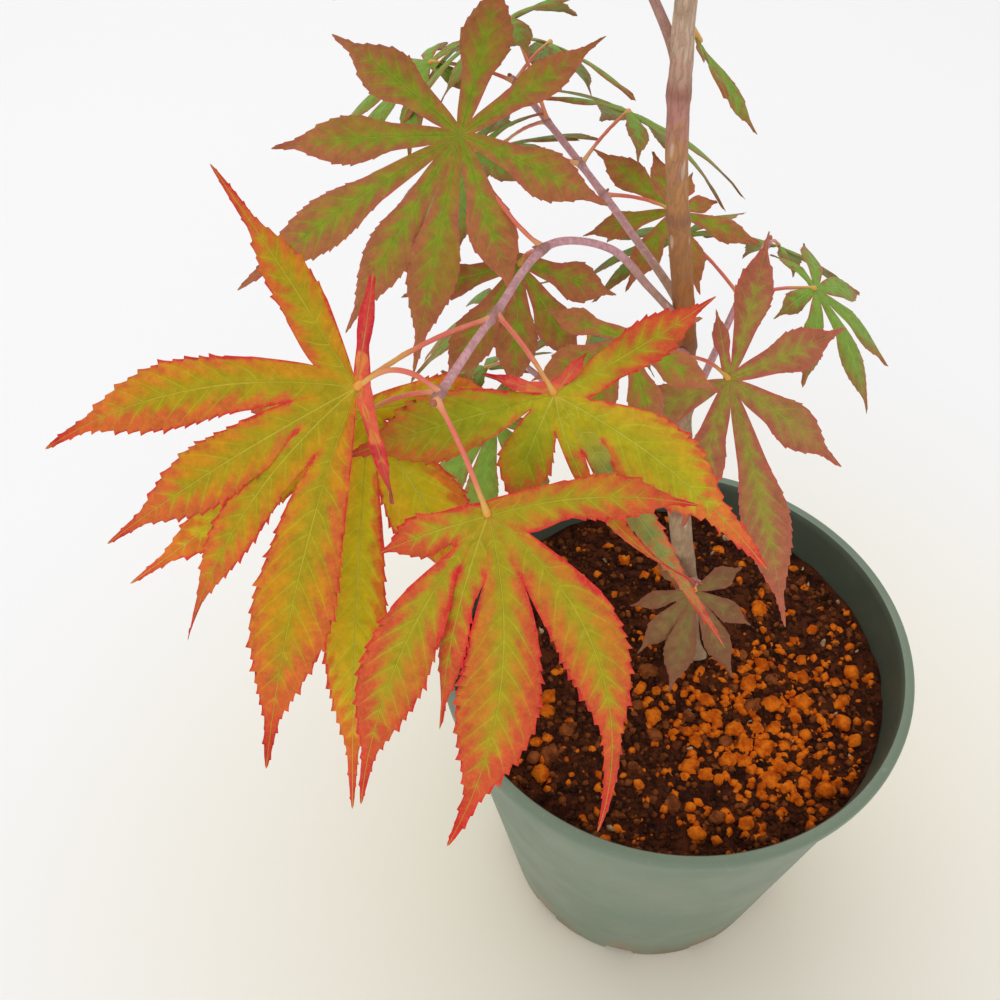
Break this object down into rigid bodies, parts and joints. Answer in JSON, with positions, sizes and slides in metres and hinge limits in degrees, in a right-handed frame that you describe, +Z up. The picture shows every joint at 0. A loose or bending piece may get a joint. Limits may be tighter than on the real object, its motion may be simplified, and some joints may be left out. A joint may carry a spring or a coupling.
{
  "type": "potted japanese maple",
  "caption": "Young Japanese maple sapling with a slim leaning trunk, short boughs and drooping, deeply lobed autumn leaves, in a round tapering plastic nursery pot.",
  "frame": {"origin": "centre of the pot's flat underside", "axes": "+Z up along the pot's axis, -Y towards the tree's best side, +X to the viewer's right"},
  "size_m": [0.1822, 0.1749, 0.3949],
  "materials": {
    "pot_plastic": "satin dark green-grey moulded plastic",
    "soil": "loose dark potting soil with orange clay grains",
    "trunk_bark": "smooth young bark with fine lengthwise cracks",
    "bough_bark": "smooth mauve-grey twig bark",
    "leaf_orange": "satin leaf, olive in the middle, orange and crimson at the edge",
    "leaf_bronze": "satin bronze leaf with pale green ribs",
    "leaf_green": "satin dull green leaf"
  },
  "bodies": {
    "root": {"pot": "pot_plastic", "soil": "soil", "trunk": "trunk_bark", "bough_front_left": "bough_bark", "bough_back": "bough_bark", "bough_back_low": "bough_bark", "bough_side_low": "bough_bark", "bough_back_left": "bough_bark", "bough_right": "bough_bark", "bough_left": "bough_bark", "bough_upper_back": "bough_bark", "bough_upper_front": "bough_bark", "foliage_front_left": "leaf_orange", "foliage_upper_back": "leaf_orange", "foliage_upper_front": "leaf_orange", "foliage_top": "leaf_orange", "foliage_middle": "leaf_bronze", "foliage_low": "leaf_bronze", "foliage_right": "leaf_bronze", "foliage_left": "leaf_bronze", "foliage_back": "leaf_green", "foliage_back_low": "leaf_green", "foliage_side_low": "leaf_green", "foliage_back_left": "leaf_green"}
  },
  "joints": []
}
